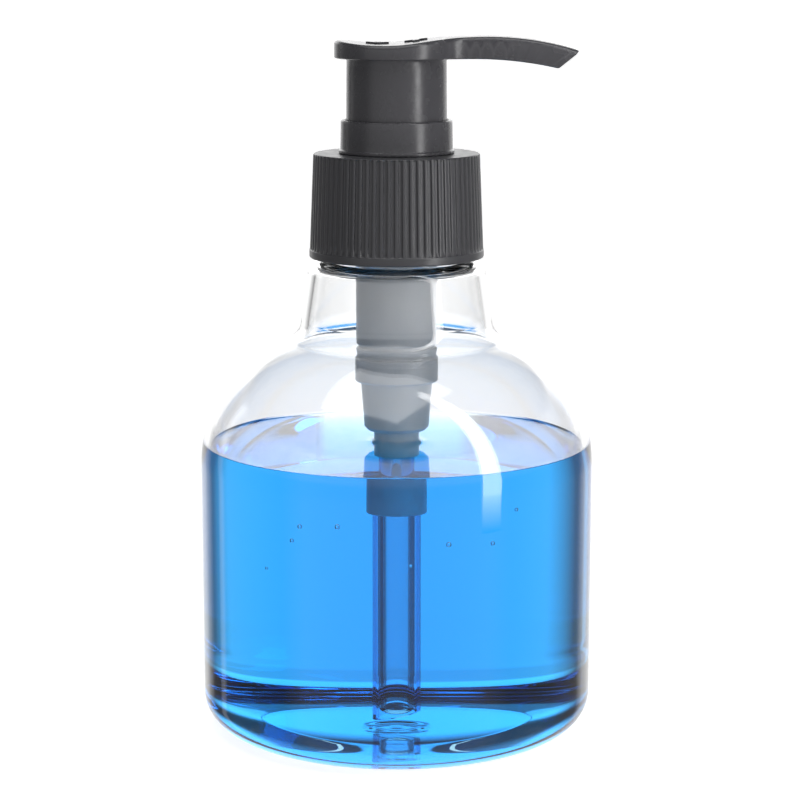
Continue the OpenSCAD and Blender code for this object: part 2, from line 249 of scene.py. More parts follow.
def between(tree, factor, low_value, high_value, from_low=0.3, from_high=0.7):
    """A factor spread from one number to another."""
    node = tree.nodes.new("ShaderNodeMapRange")
    limits = (("From Min", from_low), ("From Max", from_high), ("To Min", low_value), ("To Max", high_value))
    for key, value in limits:
        node.inputs[key].default_value = value
    tree.links.new(factor, node.inputs["Value"])
    return node.outputs["Result"]


def bump(tree, shader, height, distance, strength=1.0):
    """Raises the surface by a height, up to a distance in metres."""
    node = tree.nodes.new("ShaderNodeBump")
    node.inputs["Distance"].default_value = distance
    node.inputs["Strength"].default_value = strength
    tree.links.new(height, node.inputs["Height"])
    tree.links.new(node.outputs["Normal"], shader.inputs["Normal"])


def clear(name, color, ior, wave_scale=70, wave=4e-6, roughness=0.0):
    """A clear material with the faint waves of a blown or extruded wall."""
    m, tree, shader, _ = nodes_of(name)
    shader.inputs["Base Color"].default_value = (*color, 1)
    shader.inputs["Roughness"].default_value = roughness
    shader.inputs["IOR"].default_value = ior
    shader.inputs["Transmission Weight"].default_value = 1.0
    bump(tree, shader, noise(tree, wave_scale, 1.0, stretch=(1, 1, 0.35)), wave)
    return m


def opaque(name, dark, light, rough_low, rough_high, grain=1500, grain_height=4e-6, metallic=0.0,
           stretch=(1, 1, 1), transmission=0.0):
    """A moulded or drawn material: mottled colour, uneven gloss and a fine grain."""
    m, tree, shader, _ = nodes_of(name)
    mottle = noise(tree, 160, 4.0, stretch=stretch)
    mix = tree.nodes.new("ShaderNodeMix")
    mix.data_type = "RGBA"
    mix.inputs[6].default_value = (*dark, 1)
    mix.inputs[7].default_value = (*light, 1)
    tree.links.new(mottle, mix.inputs[0])
    tree.links.new(mix.outputs[2], shader.inputs["Base Color"])
    tree.links.new(between(tree, noise(tree, 420, 2.0, stretch=stretch), rough_low, rough_high),
                   shader.inputs["Roughness"])
    shader.inputs["Metallic"].default_value = metallic
    shader.inputs["Transmission Weight"].default_value = transmission
    bump(tree, shader, noise(tree, grain, 2.0, stretch=stretch), grain_height)
    return m


def bent_by_face(tree, shader, name, low_ior, high_ior):
    """Bends light by a number that each face holds, 0 for the low index and 1 for the high one."""
    share = tree.nodes.new("ShaderNodeAttribute")
    share.attribute_name = name
    tree.links.new(between(tree, share.outputs["Fac"], low_ior, high_ior, 0.0, 1.0), shader.inputs["IOR"])


def tinted(tree, output, color, density):
    """Tints the light by the length of its way inside."""
    absorb = tree.nodes.new("ShaderNodeVolumeAbsorption")
    absorb.inputs["Color"].default_value = (*color, 1)
    absorb.inputs["Density"].default_value = density
    tree.links.new(absorb.outputs["Volume"], output.inputs["Volume"])


def soap_material():
    """Blue liquid. Only its bare faces bend light: where it wets the bottle, the bottle's face does."""
    m, tree, shader, output = nodes_of("blue_soap")
    shader.inputs["Base Color"].default_value = (1, 1, 1, 1)
    shader.inputs["Roughness"].default_value = 0.0
    shader.inputs["IOR"].default_value = WATER_IOR
    shader.inputs["Transmission Weight"].default_value = 1.0
    bump(tree, shader, noise(tree, 90, 1.0), 2e-6)
    bent_by_face(tree, shader, "free_surface", AIR, WATER_IOR)
    tinted(tree, output, (0.0, 0.72, 0.975), 58.0)
    return m


def tube_material():
    """Natural polypropylene. Its faces are wet, or dry where the tube holds air.

    The tint was fitted to the tube's look in the soap. It is stronger than the real plastic's.
    """
    m = clear("tube_pp", (0.97, 0.975, 0.98), PP_IOR / WATER_IOR, 240, 2e-6, 0.02)
    tree = m.node_tree
    bent_by_face(tree, tree.nodes["Principled BSDF"], "dry", PP_IOR / WATER_IOR, PP_IOR)
    tinted(tree, tree.nodes["Material Output"], (0.0, 0.24, 0.6), 250.0)
    return m


pet = clear("clear_pet", (0.994, 0.996, 0.996), PET_IOR)
pet_wet = clear("clear_pet_wet", (0.994, 0.996, 0.996), PET_IOR / WATER_IOR)
tube_wall = tube_material()
soap_blue = soap_material()
satin_black = opaque("black_pp_satin", (0.05, 0.05, 0.055), (0.055, 0.055, 0.061), 0.3, 0.4)
gloss_black = opaque("black_pp_gloss", (0.054, 0.053, 0.059), (0.058, 0.057, 0.064), 0.22, 0.3, 900, 2e-6)
milky = opaque("natural_pp", (0.74, 0.77, 0.81), (0.84, 0.86, 0.88), 0.3, 0.42, 700, 3e-6, transmission=0.2)
waxy = opaque("soft_ldpe", (0.8, 0.81, 0.8), (0.9, 0.91, 0.9), 0.4, 0.52, 500, 4e-6)
foam = opaque("gasket_foam", (0.8, 0.8, 0.78), (0.92, 0.92, 0.9), 0.7, 0.85, 3000, 3e-5)
steel = opaque("steel", (0.55, 0.56, 0.58), (0.72, 0.73, 0.75), 0.18, 0.3, 2500, 2e-6, 1.0, (1, 1, 6))


# ---------------------------------------------------------------- bottle and soap

def shoulder_line(inset):
    """The side, shoulder, fillet and neck, from the straight wall up to the ledge's arc."""
    top_x, round_z = NECK_TOP_R - LEDGE_ROUND, LEDGE_Z - LEDGE_ROUND
    return (
        arc((SHOULDER_X, SHOULDER_Z), SHOULDER_R - inset, 0, FILLET_ANGLE, 1.5)
        + arc((FILLET_X, FILLET_Z), FILLET_R + inset, FILLET_ANGLE + 180, 180, 4)[1:]
        + arc((top_x, round_z), LEDGE_ROUND - inset, 0, 90, 6)
    )


def thread(start_z, root_w, crest_w, turns, root_r, crest_r):
    """A warp that raises a thread on the rows near a radius. It fades at both ends."""
    def raise_thread(angles, r, z):
        lift = np.zeros_like(z)
        for turn in range(int(turns) + 2):
            at = angles / (2 * pi) + turn
            fade = np.clip(np.minimum(at, turns - at) * 8, 0, 1)
            away = np.abs(z - (start_z + PITCH * at))
            ridge = np.clip((root_w / 2 - away) / ((root_w - crest_w) / 2), 0, 1)
            lift = np.maximum(lift, ridge * ridge * (3 - 2 * ridge) * fade)
        near = np.abs(r - root_r) < 0.02
        return np.where(near, r + (crest_r - root_r) * lift, r), z
    return raise_thread


def floor_height(r):
    """The height of the inner floor. It follows the underside at an even thickness."""
    if r <= RECESS_R:
        under = RECESS_DEPTH + RECESS_DOME * (1 - (r / RECESS_R) ** 2)
    else:
        under = RECESS_DEPTH * max(0.0, (STAND_R - r) / (STAND_R - RECESS_R))
    return FLOOR_T + under


def contact_height(radius_inset, climb):
    """Where the soap's edge meets the wall: its radius, its height and its angle on the shoulder's arc."""
    z = FILL_Z + climb
    angle = np.degrees(np.arcsin((z - SHOULDER_Z) / (SHOULDER_R - radius_inset)))
    return SHOULDER_X + (SHOULDER_R - radius_inset) * cos(radians(angle)), z, angle


CLIMB, CLIMB_WIDTH = 0.45, 0.55  # how far the soap's edge climbs the wall, and how quickly it falls away
SOAP_OVERLAP = 0.15              # how far the soap's mesh reaches into the wall, to leave no air between
GATE_R = 3.9                     # radius of the moulding gate's ring
TUBE_BORE_R, AIR_R = 2.55, 2.95  # the dip tube's bore, and where in its wall the soap's mesh ends
AIR_Z = 5.2                      # how high the soap stands in the dip tube, which is full of air
FILM_R, FILM_Z = 2.5, 11.2       # a film of soap wets the bore up to above the end of the lifted tube


def ripples(r):
    """The moulding gate's mark in the middle of the inner floor: a low ring round a small nub."""
    return 0.16 * np.exp(-(((r - GATE_R) / 0.6) ** 2)) + 0.12 * np.exp(-((r / 0.8) ** 2))


def bottle():
    """The bottle as one solid of even wall, with its thread. Its wetted face bends light as soap to wall."""
    _, contact_z, contact_angle = contact_height(WALL, CLIMB)
    base = arc((BODY_R - HEEL_R, HEEL_R), HEEL_R, -90, 0, 4)
    finish = [(FINISH_R, z) for z in np.arange(LEDGE_Z + 0.2, RIM_Z - 0.5, 0.22)]
    rim = rounded([(FINISH_R, RIM_Z - 0.8, 0), (FINISH_R, RIM_Z, 0.35), (BORE_R, RIM_Z, 0.35),
                   (BORE_R, RIM_Z - 0.8, 0)], closed=False)
    inside = shoulder_line(WALL)
    cut = [p for p in inside if p[1] <= contact_z - 0.05]
    rest = [p for p in inside if p[1] > contact_z + 0.05]
    meet = (SHOULDER_X + (SHOULDER_R - WALL) * cos(radians(contact_angle)), contact_z)
    heel = arc((BODY_R - WALL - INNER_HEEL_R, FLOOR_T + INNER_HEEL_R), INNER_HEEL_R, 0, -90, 4)
    floor = [(r, floor_height(r) + ripples(r)) for r in np.arange(INNER_FLOOR_R, 0.2, -0.4)]
    recess = [(r, floor_height(r) - FLOOR_T) for r in np.arange(0, RECESS_R - 0.5, 0.75)]
    edge = rounded([(RECESS_R - 0.4, RECESS_DEPTH + 0.01, 0), (RECESS_R, RECESS_DEPTH, 0.1),
                    (RECESS_R + 0.1, RECESS_DEPTH - RECESS_STEP, 0.1), (STAND_R, 0, 1.5),
                    (BODY_R - HEEL_R, 0, 0)], closed=False)
    path = (
        recess + edge + base[1:] + refined([(BODY_R, HEEL_R), (BODY_R, SHOULDER_Z)], 3, False)[1:-1]
        + shoulder_line(0) + [(FINISH_R + 0.2, LEDGE_Z), (FINISH_R, LEDGE_Z + 0.1)] + finish + rim
        + [(BORE_R, LEDGE_Z - WALL + 0.3), (BORE_R + 0.3, LEDGE_Z - WALL)]
        + list(reversed(rest)) + [meet] + list(reversed(cut))
        + refined([(BODY_R - WALL, SHOULDER_Z), (BODY_R - WALL, FLOOR_T + INNER_HEEL_R)], 3, False)[1:-1]
        + heel + floor + [(0, floor_height(0) + ripples(0))]
    )
    warp = thread(THREAD_Z, 2.3, 1.1, THREAD_TURNS, FINISH_R, THREAD_R)
    obj = piece("pet_bottle", facing(lathe(path, 256, warp)), [pet, pet_wet],
                "bottle", ["bottle"])
    middle = Vector((0, 0, FILL_Z / 2 * MM))
    for polygon in obj.data.polygons:
        inner = polygon.normal.dot(polygon.center - middle) < 0
        polygon.material_index = 1 if inner and polygon.center.z < contact_z * MM else 0
    return obj


SOCKET_R = 4.2       # outer radius of the housing where it stands in the soap
BUBBLES = [          # small air bubbles that cling to the front wall: across, height, radius
    (-16.6, 44.5, 0.45), (-18.0, 41.8, 0.4), (-10.1, 45.1, 0.5), (8.9, 42.0, 0.5), (16.5, 41.5, 0.4),
    (-22.5, 36.0, 0.3), (20.6, 47.0, 0.35), (2.4, 38.5, 0.3),
]


def face_centres(shape):
    """The distance from the axis and the height of the middle of each face."""
    points, faces = shape
    middles = np.array([points[list(face)].mean(0) for face in faces])
    return np.hypot(middles[:, 0], middles[:, 1]), middles[:, 2]


def soap_body():
    """The soap with a curved edge where it meets the wall and the pump, and which of its faces are bare."""
    wall = WALL - SOAP_OVERLAP
    edge_r, edge_z, _ = contact_height(wall, CLIMB)
    side = (
        [(r, floor_height(r) - SOAP_OVERLAP) for r in np.arange(0, INNER_FLOOR_R, 0.8)]
        + arc((BODY_R - WALL - INNER_HEEL_R, FLOOR_T + INNER_HEEL_R), INNER_HEEL_R + SOAP_OVERLAP, -90, 0, 4)
        + refined([(BODY_R - wall, FLOOR_T + INNER_HEEL_R), (BODY_R - wall, SHOULDER_Z)], 3, False)[1:-1]
        + [p for p in arc((SHOULDER_X, SHOULDER_Z), SHOULDER_R - wall, 0, 20, 1.0) if p[1] < edge_z - 0.05]
    )
    top = [(edge_r, edge_z)]
    for d in (0.08, 0.16, 0.28, 0.42, 0.6, 0.8, 1.1, 1.5, 2.0, 2.8, 4.0):
        top.append((edge_r - d, FILL_Z + CLIMB * np.exp(-d / CLIMB_WIDTH)))
    top += [(r, FILL_Z) for r in (26, 22, 18, 14, 11, 9)]
    for r in (7.0, 6.3, 5.7, 5.2, 4.8, 4.5, 4.3, 4.1):
        top.append((r, FILL_Z + 0.7 * np.exp(-max(0, r - SOCKET_R) / 0.7)))
    top += [(2, FILL_Z + 0.7), (0, FILL_Z + 0.7)]
    shape = facing(lathe(side + top, 256))
    r, z = face_centres(shape)
    return shape, (z > FILL_Z - 0.01) & (r < edge_r - 0.01)


def air_in_tube():
    """The air in the dip tube as a hollow in the soap, and which of its faces are bare soap."""
    end = [(FILM_R * sin(a), AIR_Z - 1.5 * cos(a)) for a in np.linspace(0, pi / 2, 10)]
    side = [(FILM_R, FILM_Z), (AIR_R, FILM_Z + 0.1), (AIR_R, FILL_Z + 0.5), (0, FILL_Z + 0.5)]
    shape = facing(lathe(end + side, 96), outward=False)
    r, z = face_centres(shape)
    return shape, (z < FILM_Z) & (r < FILM_R)


def bubble(x, z, radius):
    """A bubble as a hollow in the soap behind the front wall."""
    y = -sqrt((BODY_R - WALL - radius - 0.12) ** 2 - x * x)
    points, faces = lathe([(radius * sin(a), radius * cos(a)) for a in np.linspace(0, pi, 13)], 16)
    shape = facing((points + np.array((x, y, z)), faces), outward=False)
    return shape, np.ones(len(faces), bool)


def soap():
    """The soap, the air in the dip tube and a few bubbles as one mesh."""
    parts = [soap_body(), air_in_tube()] + [bubble(*place) for place in BUBBLES]
    obj = piece("blue_soap_fill", joined(*(shape for shape, _ in parts)), [soap_blue],
                "bottle", ["liquid_soap"], sharp=60)
    free = obj.data.attributes.new("free_surface", "FLOAT", "FACE")
    free.data.foreach_set("value", np.concatenate([bare for _, bare in parts]).astype(float))
    return obj


# ---------------------------------------------------------------- closure and pump

def closure():
    """The ribbed closure, with its band, its top panel, its hole and its inner thread."""
    low_z, top_z = low("closure"), high("closure")
    low_r, top_r, ribs, rib_h = high("closure", 0), 15.27, 72, 0.35
    bore_r, hole_r, panel, band = THREAD_R + 0.3, 10.08, 1.2, 1.4
    outline = rounded([
        (low_r, low_z, 0.3), (low_r, low_z + band, 0.3), (low_r - 0.12, low_z + band + 0.2, 0.1),
        (top_r, top_z, 0.35), (hole_r, top_z, 0.25), (hole_r, top_z - panel, 0.1),
        (bore_r, top_z - panel, 0.5), (bore_r, low_z, 0.3),
    ])
    segments = ribs * 10

    def grip(angles, r, z):
        lean = np.clip((z - low_z - band - 0.2) / (top_z - low_z - band), 0, 1)
        side = low_r - 0.12 + (top_r - low_r + 0.12) * lean
        on_side = (np.abs(r - side) < 0.25) & (z > low_z + band + 0.15) & (z < top_z - 0.1)
        rise = np.clip((z - low_z - band - 0.15) / 0.4, 0, 1) * np.clip((top_z - 0.1 - z) / 0.25, 0, 1)
        wave = np.clip(0.5 + 0.9 * np.cos(angles * ribs), 0, 1)
        wave = wave * wave * (3 - 2 * wave)
        return np.where(on_side, r - rib_h * rise * (1 - wave), r), z

    raise_thread = thread(THREAD_Z + PITCH / 2, 1.4, 0.8, THREAD_TURNS - 0.25, bore_r, FINISH_R + 0.35)

    def warp(angles, r, z):
        return raise_thread(angles, *grip(angles, r, z))

    path = refined(outline, 0.8)
    return piece("ribbed_closure", facing(lathe(path, segments, warp)), [satin_black],
                 "closure", ["closure"])


def chaplet():
    """The ring that the head slides in, its bead, its flange and the cup below it."""
    top_z, low_z = high("chaplet"), low("chaplet")
    panel_top = high("closure")
    bore, hub, flange, cup, bush = 9.5, 10.3, high("chaplet", 0), 10.1, 4.8
    stem_r = high("stem", 0) + 0.05
    cup_floor = high("housing") - 4.3
    path = rounded([
        (stem_r, low_z, 0.1), (bush, low_z, 0.2), (bush, cup_floor - 1.2, 0.1), (cup, cup_floor - 1.2, 0.2),
        (cup, 105.2, 0.05), (flange, 105.2, 0.1), (flange, 106.1, 0.1), (10.0, 106.1, 0.05),
        (10.0, panel_top + 0.1, 0.05), (hub + 0.3, panel_top + 0.1, 0.12), (hub + 0.3, panel_top + 0.6, 0.15),
        (hub, panel_top + 0.8, 0.1), (hub - 0.1, top_z, 0.45), (bore, top_z, 0.25), (bore, cup_floor, 0.3),
        (bush, cup_floor, 0.1), (bush, cup_floor + 1.5, 0.3), (stem_r, cup_floor + 1.5, 0.2),
    ])
    return piece("hub_ring", facing(lathe(refined(path, 1.2), 192)), [gloss_black],
                 "pump", ["chaplet"])


def housing():
    """The milky pump housing: flange, cylinder, ring, lower cylinder, ball seat and tube socket."""
    top_z, low_z = high("housing"), low("housing")
    flange = high("housing", 0)
    path = rounded([
        (10.12, top_z, 0.15), (flange, top_z, 0.25), (flange, top_z - 1, 0.25), (10.8, top_z - 1, 0.2),
        (10.8, 98.5, 0.5), (7.5, 95.2, 0.6), (7.5, 71.4, 0.5), (7.15, 71.1, 0.1), (7.15, 70.1, 0.1),
        (7.65, 69.8, 0.12), (7.65, 65.6, 0.2), (7.35, 65.3, 0.1), (6.6, 65.3, 0.15), (6.0, 56.7, 0.3),
        (5.3, 56.0, 0.3), (4.2, 56.0, 0.2), (4.2, low_z, 0.35), (3.37, low_z, 0.1), (3.37, 53.0, 0.1),
        (1.6, 53.0, 0.1), (1.6, 56.4, 0.1), (5.2, 60.0, 0.1), (5.2, 65.3, 0.1), (5.9, 65.3, 0.1),
        (5.9, 71.4, 0.1), (6.7, 71.4, 0.1), (6.7, 99.7, 0.1), (10.12, 99.7, 0.1),
    ])
    return piece("pump_housing", facing(lathe(refined(path, 2.0), 160)), [milky],
                 "pump", ["housing"])


def dip_tube():
    """The clear dip tube with its slanted end."""
    top_z, low_z, outer = high("dip_tube"), low("dip_tube"), high("dip_tube", 0)
    bore, slope = TUBE_BORE_R, tan(radians(15))
    highest = low_z + 2 * outer * slope
    heights = list(np.linspace(highest + 1, FILM_Z, 4)) + list(np.linspace(FILM_Z, top_z, 22))[1:]

    def cut(angles, r, z):
        end = low_z + (r * np.cos(angles) + outer) * slope
        return r, np.where(z <= highest, np.maximum(end, low_z), z)

    path = (
        [(bore + 0.15, low_z), (outer - 0.15, low_z), (outer, low_z + 0.05)] + [(outer, z) for z in heights]
        + [(bore, z) for z in reversed(heights)] + [(bore, low_z + 0.05)]
    )
    obj = piece("dip_tube_wall", facing(lathe(path, 96, cut)), [tube_wall],
                "pump", ["dip_tube"])
    centres = [polygon.center / MM for polygon in obj.data.polygons]
    dry = obj.data.attributes.new("dry", "FLOAT", "FACE")
    dry.data.foreach_set("value", [float(hypot(c.x, c.y) < bore + 0.02 and c.z > FILM_Z) for c in centres])
    return obj


def spring():
    """The return spring, with its end coils wound close."""
    base, top = low("return_spring"), high("return_spring")
    wire, radius, coils, around, per_turn = 0.45, 4.0, 7, 14, 48
    turns = np.linspace(0, coils, coils * per_turn + 1)
    lead = np.interp(turns, [0, 0.8, coils - 0.8, coils], [0, 0.06, 0.94, 1])
    z = base + wire + (top - base - 2 * wire) * lead
    rows = []
    for t, height in zip(turns, z):
        phi = 2 * pi * t
        ring = 2 * pi * np.arange(around) / around
        r = radius + wire * np.cos(ring)
        rows.append(np.stack([r * cos(phi), r * sin(phi), height + wire * np.sin(ring)], 1))
    points = np.concatenate(rows)
    faces = grid_faces(len(rows), around, False, True)
    faces += [tuple(range(around)), tuple(reversed(range(len(points) - around, len(points))))]
    obj = piece("spring_coil", facing((points, faces)), [steel], "pump", ["return_spring"])
    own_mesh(obj)
    return obj


# ---------------------------------------------------------------- head

PAD_R = -low("head", 0)
REACH = high("head", 0)
TOP_Z = high("head")
PLATE_Z = 124.6
SADDLE = (-2.7, 127.2, 48.0)      # x, height and radius of the thumb saddle
ARCH = (16.5, TOP_Z, 89.0, 55.0)  # x, height and radii of the spout's arch
SPOUT_W, TIP_W = 10.2, 8.2        # the spout's width at its root and at its tip
PLAN_FILLET = 6.0                 # radius between the pad and the spout, seen from above
UNDER_X, UNDER_R = 14.0, 68.0     # where the spout's underside starts to curve down, and its radius
TIP_LEAN = 0.889                  # how far the tip's face leans back for each mm down
EDGE_R, UNDER_EDGE_R = 0.85, 0.35  # radii of the top and lower edges


def top_height(x):
    """The height of the head's top along the spout."""
    if x < 4:
        return SADDLE[1] + SADDLE[2] - sqrt(SADDLE[2] ** 2 - (x - SADDLE[0]) ** 2)
    radius = ARCH[2] if x < ARCH[0] else ARCH[3]
    return ARCH[1] - radius + sqrt(radius ** 2 - (x - ARCH[0]) ** 2)


def under_height(x):
    """The height of the head's underside along the spout."""
    if x < UNDER_X:
        return PLATE_Z
    return PLATE_Z - UNDER_R + sqrt(UNDER_R ** 2 - (x - UNDER_X) ** 2)


def smooth_top(x):
    """The top height with the saddle and the arch eased into each other."""
    reach = np.linspace(-1.6, 1.6, 9)
    return float(np.mean([top_height(x + d) for d in reach])) if 1.5 < x < 7 else top_height(x)


FILLET_Y = SPOUT_W / 2 + PLAN_FILLET
FILLET_AT_X = sqrt((PAD_R + PLAN_FILLET) ** 2 - FILLET_Y ** 2)
TANGENT_X = FILLET_AT_X * PAD_R / (PAD_R + PLAN_FILLET)


def half_width(x):
    """Half the width of the pad and spout at a distance along the spout."""
    if x <= TANGENT_X:
        return sqrt(max(0, PAD_R ** 2 - x * x))
    if x <= FILLET_AT_X:
        return FILLET_Y - sqrt(max(0, PLAN_FILLET ** 2 - (x - FILLET_AT_X) ** 2))
    share = (x - FILLET_AT_X) / (REACH + 1 - FILLET_AT_X)
    return SPOUT_W / 2 + (TIP_W - SPOUT_W) / 2 * share


def edge_round(radius, away):
    """How far a rounded edge falls below the flat, at distances in from the edge."""
    return radius - np.sqrt(np.maximum(0, radius ** 2 - np.maximum(0, radius - away) ** 2))


def head_body():
    """The pad and spout as stations along X. Each is a closed ring with rounded edges."""
    tangent = degrees(np.arccos(-TANGENT_X / PAD_R))
    alpha = np.radians(np.concatenate([np.arange(2, 60, 2.5), np.arange(60, tangent, 4)]))
    xs = list(-PAD_R * np.cos(alpha)) + list(np.linspace(TANGENT_X, FILLET_AT_X, 12))
    xs += list(np.linspace(FILLET_AT_X, REACH - 0.5, 34)[1:]) + [REACH - d for d in (0.3, 0.15, 0.05, 0)]
    on_pad = [x for x in -PAD_R * np.cos(np.radians(np.arange(0, 130, 0.5))) if x < TANGENT_X]
    edge = np.array([(x, half_width(x)) for x in on_pad + list(np.arange(TANGENT_X, REACH, 0.08))])
    across = np.sin(np.radians(np.linspace(-90, 90, 47)))
    rows = []
    for i, x in enumerate(xs):
        w = half_width(x)
        back = max(0, x - 20) / (REACH - 20)
        lean = TIP_LEAN * back * back * (3 - 2 * back)
        inset = max(0, x - (REACH - 0.5)) / 0.5
        shrink = 0.12 * (1 - sqrt(max(0, 1 - inset * inset)))
        y = across * (w - shrink)
        away = np.array([np.min(np.hypot(edge[:, 0] - x, edge[:, 1] - abs(v))) for v in across * w])
        top_drop, low_rise = edge_round(EDGE_R, away), edge_round(UNDER_EDGE_R, away)
        z_top, z_low = smooth_top(x) - top_drop - shrink, under_height(x) + low_rise + shrink
        upper = np.stack([x - lean * (smooth_top(x) - z_top), y, z_top], 1)
        shifted = x - lean * (smooth_top(x) - z_low)
        lower = np.stack([shifted, y, np.array([under_height(v) for v in shifted]) + low_rise + shrink], 1)
        rows.append(np.concatenate([upper, lower[::-1]]))
    count = len(rows[0])
    points = np.concatenate(rows)
    faces = grid_faces(len(rows), count, False, True)
    faces.append(tuple(range(count)))
    mouth = mouth_rings(rows[-1])
    start = (len(rows) - 1) * count
    faces += grid_faces(len(mouth) + 1, count, False, True, start)
    points = np.concatenate([points] + mouth)
    faces.append(tuple(range(len(points) - 1, len(points) - count - 1, -1)))
    return facing((points, faces))


def mouth_rings(face):
    """Rings that lead from the tip's face into the soap channel and end in its dark depth."""
    centre = face.mean(0)
    spread = face - centre
    around = np.arctan2(spread[:, 2], spread[:, 1])
    slope = np.array((TIP_LEAN, 0, 1.0)) / hypot(TIP_LEAN, 1)
    circle = np.outer(np.cos(around), (0, 1, 0)) + np.outer(np.sin(around), slope)
    inward = np.array((-cos(radians(12)), 0, sin(radians(12))))
    steps = ((1.35, 0.0), (1.22, 0.06), (1.16, 0.3), (1.12, 3.0), (1.1, 7.0))
    return [centre + circle * radius + inward * depth for radius, depth in steps]


def arrow(x, way, height=0.35):
    """An arrow raised from the saddle of the pad. It points along Y, the way that the head turns."""
    outline = [(-0.6, -3), (0.6, -3), (0.6, 0.6), (2.1, 0.6), (0, 3.2), (-2.1, 0.6), (-0.6, 0.6)]
    outline = refined(outline, 0.8)
    rings = []
    for scale, z in ((1.0, -0.6), (1.0, height - 0.08), (0.95, height)):
        points = [(x + px * scale, way * py * scale) for px, py in outline]
        rings.append([(at_x, at_y, smooth_top(at_x) + z) for at_x, at_y in points])
    n = len(outline)
    faces = grid_faces(3, n, False, True) + [tuple(range(n)), tuple(range(3 * n - 1, 2 * n - 1, -1))]
    return facing((np.concatenate(rings), faces))


def head():
    """The pump head: thumb pad and spout, skirt, stem socket, and two plain turn arrows."""
    low_z = low("head")
    skirt = rounded([
        (9.22, low_z, 0.15), (9.12, PLATE_Z - 0.4, 0), (9.5, PLATE_Z + 0.1, 0), (8.0, PLATE_Z + 0.1, 0),
        (8.12, low_z + 1, 0), (8.22, low_z, 0.15),
    ])
    socket_low = 114.0
    stem_r = high("stem", 0) + 0.05
    socket = rounded([
        (4.7, PLATE_Z + 0.1, 0), (4.7, socket_low, 0.2),
        (stem_r, socket_low, 0.2), (stem_r, PLATE_Z + 0.1, 0),
    ])
    shapes = [
        head_body(), facing(lathe(refined(skirt, 1.5), 192)), facing(lathe(refined(socket, 1.5), 96)),
        arrow(3.5, 1), arrow(-3.5, -1),
    ]
    return piece("pump_head", joined(*shapes), [gloss_black], "head", ["head"], sharp=40)


# ---------------------------------------------------------------- studio

# What is seen in and through the object. Angles are in degrees from straight behind it.
# The levels and angles were found by trial, by how the bottle and the soap look from the front.
CLEAR_LEFT, CLEAR_RIGHT = 28, 36  # how far the bright background reaches to each side
FADE_LEFT, FADE_RIGHT = 43, 47    # where it has faded out
BEHIND_HIGH = 2.0                 # its brightness over the horizon
BEHIND_FAR, BEHIND_LOW = 1.1, 1.3  # its brightness just under the horizon and well under it
SIDE_LEFT, SIDE_RIGHT = 0.15, 0.25  # the brightness of the sides, as a share of that
STRIP_LEFT, FRONT = 0.6, 0.45     # the same for a strip on the left, and for the front
ABOVE = 0.06                      # the same over the background's top
PANEL_TOP = (sin(radians(20)), sin(radians(24)))  # the heights between which the background ends
UNDER = 1.2                       # the brightness of the floor right under the object
FLOOR_GLOW = 0.84                 # what brings the lit floor up to white for the camera
STRIP_GLOW = 7.0                  # the brightness of the strip light
STRIP_FADE = (0.022, 0.035)       # the heights in metres between which it grows to that


def math_node(tree, operation, a, b=None):
    """A Math node's output. Each operand is a number or another node's output."""
    node = tree.nodes.new("ShaderNodeMath")
    node.operation = operation
    for socket, value in zip(node.inputs, (a, b)):
        if isinstance(value, (int, float)):
            socket.default_value = value
        elif value is not None:
            tree.links.new(value, socket)
    return node.outputs[0]


def side_pattern(tree, vector):
    """The share of full brightness in a direction from the object: bright behind it, dark at the sides."""
    split = tree.nodes.new("ShaderNodeSeparateXYZ")
    tree.links.new(vector, split.inputs[0])
    turn = math_node(tree, "ARCTAN2", split.outputs[0], split.outputs[1])
    ramp = tree.nodes.new("ShaderNodeValToRGB")
    stops = [
        (-180, FRONT), (-125, FRONT), (-110, SIDE_LEFT),
        (-60, SIDE_LEFT), (-58, STRIP_LEFT), (-54, STRIP_LEFT), (-52, SIDE_LEFT),
        (-FADE_LEFT, SIDE_LEFT), (-CLEAR_LEFT, 1.0), (CLEAR_RIGHT, 1.0), (FADE_RIGHT, SIDE_RIGHT),
        (110, SIDE_RIGHT), (125, FRONT), (180, FRONT),
    ]
    line = ramp.color_ramp
    while len(line.elements) < len(stops):
        line.elements.new(0.5)
    for element, (angle, value) in zip(line.elements, stops):
        element.position = (angle + 180) / 360
        element.color = (value, value, value, 1)
    tree.links.new(between(tree, turn, 0.0, 1.0, -pi, pi), ramp.inputs[0])
    return ramp.outputs[0]


def seen_by_camera(tree):
    """1 where the camera looks at the studio itself, 0 where it is seen in or through the object."""
    return tree.nodes.new("ShaderNodeLightPath").outputs["Is Camera Ray"]


def world():
    """The surroundings. The camera sees plain white.

    In and through the object they are bright behind it, and dark above it and at its sides.
    """
    w = bpy.data.worlds.new("studio")
    bpy.context.scene.world = w
    w.use_nodes = True
    tree = w.node_tree
    background = tree.nodes["Background"]
    place = tree.nodes.new("ShaderNodeTexCoord")
    mix = tree.nodes.new("ShaderNodeMix")
    mix.inputs[3].default_value = 1.05
    split = tree.nodes.new("ShaderNodeSeparateXYZ")
    tree.links.new(place.outputs["Generated"], split.inputs[0])
    below = between(tree, split.outputs[2], BEHIND_LOW, BEHIND_FAR, -0.22, -0.18)
    above = between(tree, split.outputs[2], 0.0, BEHIND_HIGH - BEHIND_FAR, -0.02, 0.02)
    behind = math_node(tree, "ADD", below, above)
    level = math_node(tree, "MULTIPLY", behind, between(tree, split.outputs[2], 1.0, ABOVE, *PANEL_TOP))
    sides = side_pattern(tree, place.outputs["Generated"])
    tree.links.new(math_node(tree, "MULTIPLY", sides, level), mix.inputs[2])
    tree.links.new(seen_by_camera(tree), mix.inputs[0])
    tree.links.new(mix.outputs[0], background.inputs["Strength"])
    background.inputs["Color"].default_value = (1, 1, 1, 1)


